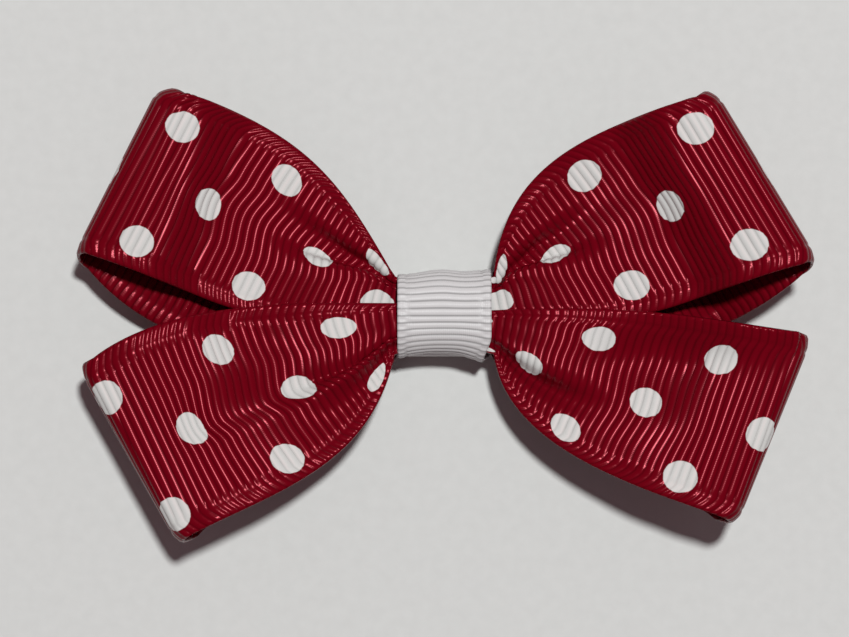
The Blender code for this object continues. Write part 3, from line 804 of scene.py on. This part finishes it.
# Along the bow: how far the wavy upper and lower edges of the wrap lie from its middle.
WAVE_X = (-5.2, -3.5, -1.6, 0.0, 1.8, 3.2, 5.2)
UPPER_WAVE = (4.45, 4.50, 4.85, 5.00, 4.75, 4.80, 5.05)
LOWER_WAVE = (4.65, 4.22, 4.02, 4.02, 4.10, 4.45, 5.10)

# %% Make the wrap
_, around = oval(4.9, WRAP_FOOT, WRAP_TOP, WRAP_MIDDLE, WRAP_POWERS, 300)
wrap_ribs = round(around / WRAP_PITCH)
count = wrap_ribs * PER_RIB + 1
rows = []
for fraction in COLUMNS:
    x = -KNOT_HALF + WRAP_WIDTH * fraction
    flare = 0.12 * (x / KNOT_HALF) ** 2
    loop, _ = oval(CLIP_ROOM, WRAP_FOOT + WRAP_SLOPE * x, WRAP_TOP + flare, WRAP_MIDDLE, WRAP_POWERS,
                   count, SEAM)
    y, z = loop.T
    near = x + 0.1 * KNOT_HALF * np.array([-1, 0, 1])
    front = smooth(3.6, 5.0, z)
    up = 1 + (np.interp(near, WAVE_X, UPPER_WAVE).mean() / CLIP_ROOM - 1) * front
    down = 1 + (np.interp(near, WAVE_X, LOWER_WAVE).mean() / CLIP_ROOM - 1) * front
    y = np.where(y > 0, y * up, y * down)
    drawn = 0.85 * smooth(2.2, 5.2, -y) * front * fraction
    rows.append(np.column_stack([x - drawn, y, z]))
rows = np.array(rows).transpose(1, 0, 2)
phase = np.linspace(0, wrap_ribs, count)
edge = np.minimum(COLUMNS, 1 - COLUMNS) * WRAP_WIDTH
ribs = rib_arch(phase)[:, None] * smooth(0.9, 1.3, edge)[None] * WRAP_RIB
loops = (rib_arch(phase + 0.5)[:, None]
         * (smooth(0.0, 0.2, edge) * (1 - smooth(0.75, 1.0, edge)))[None] * WRAP_LOOP)
length = float(np.linalg.norm(np.diff(rows[:, len(COLUMNS) // 2], axis=0), axis=1).sum())
main = np.dstack([np.repeat(phase[:, None], len(COLUMNS), 1),
                  np.repeat(COLUMNS[None] * WRAP_WIDTH, count, 0)])
groove = np.abs(phase - np.round(phase)) < 1e-6
piece = cloth("white_centre_wrap", rows, np.maximum(ribs, loops), WRAP_CORE, main, main, (WHITE, WHITE),
              groove, WRAP_PLAIN)
print("wrap length mm:", round(length, 1), "triangles:", 2 * len(piece.data.polygons))
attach(piece, "bow")
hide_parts("centre_wrap")

# %% [markdown]
# ## The gathering thread
# Five turns of doubled polyester thread pull the pinch tight under the wrap. A torus for each turn
# would leave five loose rings, so one curve with a round bevel winds along an oval a little inside
# the wrap. A curve has no faces to export or to measure, so it is then made a mesh.

# %% A round wire along a route
def swept(name, route, radius):
    """A round wire along a route in millimetres, as a mesh."""
    curve = bpy.data.curves.new(name, "CURVE")
    curve.dimensions = "3D"
    curve.bevel_depth = radius * MM
    curve.bevel_resolution = 3
    curve.use_fill_caps = True
    spline = curve.splines.new("POLY")
    spline.points.add(len(route) - 1)
    for point, place in zip(spline.points, route):
        point.co = (*(value * MM for value in place), 1.0)
    wire = bpy.data.objects.new(name, curve)
    bpy.context.collection.objects.link(wire)
    select_only(wire)
    bpy.ops.object.convert(target="MESH")
    print(name, "polygons:", len(wire.data.polygons))
    return wire


# %% Wind the thread
THREAD_RADIUS = 0.14
TURNS, PER_TURN = 5, 48
THREAD_START, THREAD_SPAN = -1.0, 2.2   # along the bow
turn, _ = oval(3.78, 4.35, 9.2, WRAP_MIDDLE, (3.0, 2.5), PER_TURN + 1)
route = [(THREAD_START + THREAD_SPAN * (lap + k / PER_TURN) / TURNS, y, z) for lap in range(TURNS)
         for k, (y, z) in enumerate(turn[:-1])]
thread = swept("wound_thread", route, THREAD_RADIUS)
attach(thread, "bow")
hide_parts("gathering_thread")

# %% [markdown]
# ## The alligator clip
# The two jaws are strips of plated sheet steel, cut with rounded corners and bent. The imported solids
# have the right bends and ears, but their edges are knife-sharp, and metal without a rounded edge
# catches no light there. A copy of each is merged, its end corners are rounded in edit mode, and a
# fine bevel takes the sharpness off every other edge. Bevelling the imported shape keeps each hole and
# ear in its place, which modelling the jaw again would risk.

# %% Round the corners and edges of both jaws
TIP_X, HANDLE_END = -0.0246, 0.024      # beyond these lie the edges of the tips and of the handles
JAW_HALF_WIDTH = 0.004
CORNER_RADIUS = 0.0016
EDGE_RADIUS = 0.00007


def is_corner(edge, mesh):
    """Whether an edge is one of the upright ones at the corners of a jaw's strip."""
    ends = [mesh.vertices[i].co for i in edge.vertices]
    at_side = all(abs(abs(end.y) - JAW_HALF_WIDTH) < 1e-4 for end in ends)
    at_end = all(end.x < TIP_X for end in ends) or all(end.x > HANDLE_END for end in ends)
    return at_side and at_end and abs(ends[0].y - ends[1].y) < 1e-5


def softened(node, name, body):
    """A copy of a packed clip piece with rounded corners and edges."""
    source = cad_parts[node]
    mesh = source.data.copy()
    mesh.transform(source.matrix_world)
    piece = bpy.data.objects.new(name, mesh)
    bpy.context.collection.objects.link(piece)
    select_only(piece)
    bpy.ops.object.mode_set(mode="EDIT")
    bpy.ops.mesh.select_mode(type="EDGE")
    bpy.ops.mesh.select_all(action="SELECT")
    bpy.ops.mesh.remove_doubles(threshold=1e-6)
    bpy.ops.mesh.dissolve_limited(angle_limit=radians(0.5))
    bpy.ops.mesh.select_all(action="DESELECT")
    bpy.ops.object.mode_set(mode="OBJECT")
    for edge in mesh.edges:
        edge.select = is_corner(edge, mesh)
    bpy.ops.object.mode_set(mode="EDIT")
    bpy.ops.mesh.bevel(offset=CORNER_RADIUS, segments=6, affect="EDGES")
    bpy.ops.object.mode_set(mode="OBJECT")
    soft = piece.modifiers.new("edges", "BEVEL")
    soft.width, soft.segments = EDGE_RADIUS, 2
    soft.limit_method, soft.angle_limit = "ANGLE", radians(35)
    bpy.ops.object.modifier_apply(modifier="edges")
    bpy.ops.object.shade_smooth_by_angle(angle=radians(35))
    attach(piece, body)
    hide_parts(node)
    print(name, "polygons:", len(piece.data.polygons))
    return piece


top_jaw = softened("clip_top_jaw", "rounded_top_jaw", "bow")
lower_jaw = softened("clip_lower_jaw", "rounded_lower_jaw", "lower_jaw")

# %% [markdown]
# ## The torsion spring
# Four and a half turns of wire sit round the hinge pin, with a leg against each handle. When the
# handles are squeezed the lower leg turns about the pin with its jaw and winds the coil up. Here the
# spring is one rigid piece, attached to neither jaw, so squeezing the handles would leave its lower
# leg behind, sticking through the handle.

# %% Coil and legs as one swept curve
WIRE_RADIUS = 0.22
COIL_RADIUS = 1.07
COIL_TURNS, PER_COIL = 4.5, 28
COIL_HALF = 1.6         # half its length along the pin
PIN_X, PIN_Z = 14.0, 3.7
UPPER_LEG = ((20.5, 5.35), (18.0, 4.93), (15.5, 4.78))
LOWER_LEG = ((15.5, 2.62), (18.0, 2.3), (20.5, 1.6))
turn = np.linspace(0, COIL_TURNS * 2 * pi, int(COIL_TURNS * PER_COIL) + 1)
coil = [(PIN_X - COIL_RADIUS * sin(a), -COIL_HALF + 2 * COIL_HALF * a / turn[-1],
         PIN_Z + COIL_RADIUS * cos(a)) for a in turn]
route = ([(x, -COIL_HALF, z) for x, z in UPPER_LEG] + coil + [(x, COIL_HALF, z) for x, z in LOWER_LEG])
spring = swept("wound_spring", route, WIRE_RADIUS)
bpy.ops.object.shade_smooth_by_angle(angle=radians(50))
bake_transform(spring)
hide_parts("torsion_spring")

# %% [markdown]
# ## Finishes of the clip, thread and glue
# Bright nickel plate with faint drawing marks along the strip and cloudier patches where it has been
# handled, drawn spring wire, spun thread, and milky hot glue. One group makes the clouds and the
# grain for all of them, and each material sets their scales and what they change.

# %% Group for clouds and grain
clouded, add, entry, leave = new_group(
    "clouds_and_grain",
    [("Place", "NodeSocketVector", None), ("Cloud scale", "NodeSocketFloat", 120.0),
     ("Grain scale", "NodeSocketFloat", 900.0)],
    [("Cloud", "NodeSocketFloat"), ("Grain", "NodeSocketFloat")])
cloud = add("TexNoise", {"Vector": entry.outputs["Place"], "Scale": entry.outputs["Cloud scale"],
                         "Detail": 3.0})
grain = add("TexNoise", {"Vector": entry.outputs["Place"], "Scale": entry.outputs["Grain scale"],
                         "Detail": 4.0})
clouded.links.new(cloud.outputs["Fac"], leave.inputs["Cloud"])
clouded.links.new(grain.outputs["Fac"], leave.inputs["Grain"])


# %% Metal, thread and glue
def plated(name, colour, roughness, stretch):
    """Metal: cloudy in colour and gloss, with grain drawn out along the strip."""
    look = bpy.data.materials.new(name)
    tree = tree_of(look)
    add = Nodes(tree)
    shader = tree.nodes["Principled BSDF"]
    shader.inputs["Metallic"].default_value = 1.0
    where = add("Mapping", {"Vector": add("TexCoord").outputs["Object"], "Scale": (stretch, 1.0, 1.0)})
    worn = add("Group", {"Place": where.outputs[0], "Cloud scale": 120.0, "Grain scale": 1800.0},
               node_tree=clouded)
    tree.links.new(add.ramp(worn.outputs["Cloud"], 0.3, 0.75, roughness * 0.8, roughness * 1.5),
                   shader.inputs["Roughness"])
    base = add.mix(worn.outputs["Cloud"], (*(c * 0.8 for c in colour), 1), (*colour, 1))
    finished(shader, tree, base, 0.2, worn.outputs["Grain"], 0.00003)
    return look


def milky(name, colour, roughness, scale):
    """Thread or glue: cloudy in colour, with coarser grain."""
    look = bpy.data.materials.new(name)
    tree = tree_of(look)
    add = Nodes(tree)
    shader = tree.nodes["Principled BSDF"]
    shader.inputs["Roughness"].default_value = roughness
    worn = add("Group", {"Place": add("TexCoord").outputs["Object"], "Cloud scale": scale,
                         "Grain scale": scale * 4}, node_tree=clouded)
    base = add.mix(worn.outputs["Cloud"], (*(c * 0.75 for c in colour), 1), (*colour, 1))
    finished(shader, tree, base, 0.4, worn.outputs["Grain"], 0.00008)
    return look


def finish(piece, look):
    """Give a piece one finish in place of any it has."""
    piece.data.materials.clear()
    piece.data.materials.append(look)


nickel = plated("nickel_plate", (0.68, 0.67, 0.65), 0.2, 0.12)
drawn = plated("drawn_wire", (0.5, 0.5, 0.5), 0.28, 1.0)
finish(top_jaw, nickel)
finish(lower_jaw, nickel)
finish(spring, drawn)
finish(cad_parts["hinge_pin"], drawn)
finish(thread, milky("crimson_thread", (0.3, 0.01, 0.02), 0.7, 2500.0))
finish(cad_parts["glue_pad"], milky("hot_glue", (0.62, 0.58, 0.48), 0.35, 400.0))

# %% [markdown]
# ## Floor, light and camera
# The bow lies on pale card. One small strong lamp stands high behind it and gives the crisp shadow
# below it. Weak rosy light from everywhere fills the rest. The camera looks straight down, from far
# enough away that the raised folds hardly grow.

# %% Floor
bpy.ops.object.select_all(action="DESELECT")
bpy.ops.mesh.primitive_plane_add(size=3.0)
floor = bpy.context.object
floor.name = "floor"
look = bpy.data.materials.new("pale_card")
tree = tree_of(look)
add = Nodes(tree)
shader = tree.nodes["Principled BSDF"]
shader.inputs["Roughness"].default_value = 0.9
shader.inputs["Specular IOR Level"].default_value = 0.1
where = add("TexCoord").outputs["Object"]
mottle = add("TexNoise", {"Vector": where, "Scale": 700.0, "Detail": 3.0})
tree.links.new(add.mix(mottle.outputs["Fac"], (0.60, 0.60, 0.59, 1), (0.66, 0.66, 0.65, 1)),
               shader.inputs["Base Color"])
floor.data.materials.append(look)
print("floor:", tuple(floor.dimensions))

# %% Light
LAMP_HEIGHT_ANGLE = radians(75.4)
LAMP_DISTANCE = 1.4
toward = Vector((0.41 * cos(LAMP_HEIGHT_ANGLE), 0.91 * cos(LAMP_HEIGHT_ANGLE), sin(LAMP_HEIGHT_ANGLE)))
lamp = bpy.data.lights.new("key", "AREA")
lamp.shape = "DISK"
lamp.size = 0.11
lamp.energy = 18.4
lamp.color = (0.97, 1.0, 0.99)
key = bpy.data.objects.new("key", lamp)
key.location = toward.normalized() * LAMP_DISTANCE
key.rotation_euler = toward.to_track_quat("Z", "Y").to_euler()
bpy.context.collection.objects.link(key)
world = bpy.data.worlds.new("studio")
world.use_nodes = True
sky = world.node_tree.nodes["Background"]
sky.inputs["Color"].default_value = (1, 0.70, 0.76, 1)
sky.inputs["Strength"].default_value = 0.125
bpy.context.scene.world = world
bpy.context.scene.view_settings.view_transform = "Standard"
print("lamp:", tuple(round(c, 3) for c in key.location))

# %% Camera
CAMERA_HEIGHT = 0.45
VIEW_WIDTH = 0.095932   # how much of the surface is seen, from side to side
camera = bpy.data.cameras.new("camera")
camera.sensor_width = 36.0
camera.lens = camera.sensor_width * CAMERA_HEIGHT / VIEW_WIDTH
camera.clip_start = 0.01
holder = bpy.data.objects.new("camera", camera)
holder.location = (-0.0022, -0.0003, CAMERA_HEIGHT)
bpy.context.collection.objects.link(holder)
bpy.context.scene.camera = holder
print("lens mm:", round(camera.lens, 1))
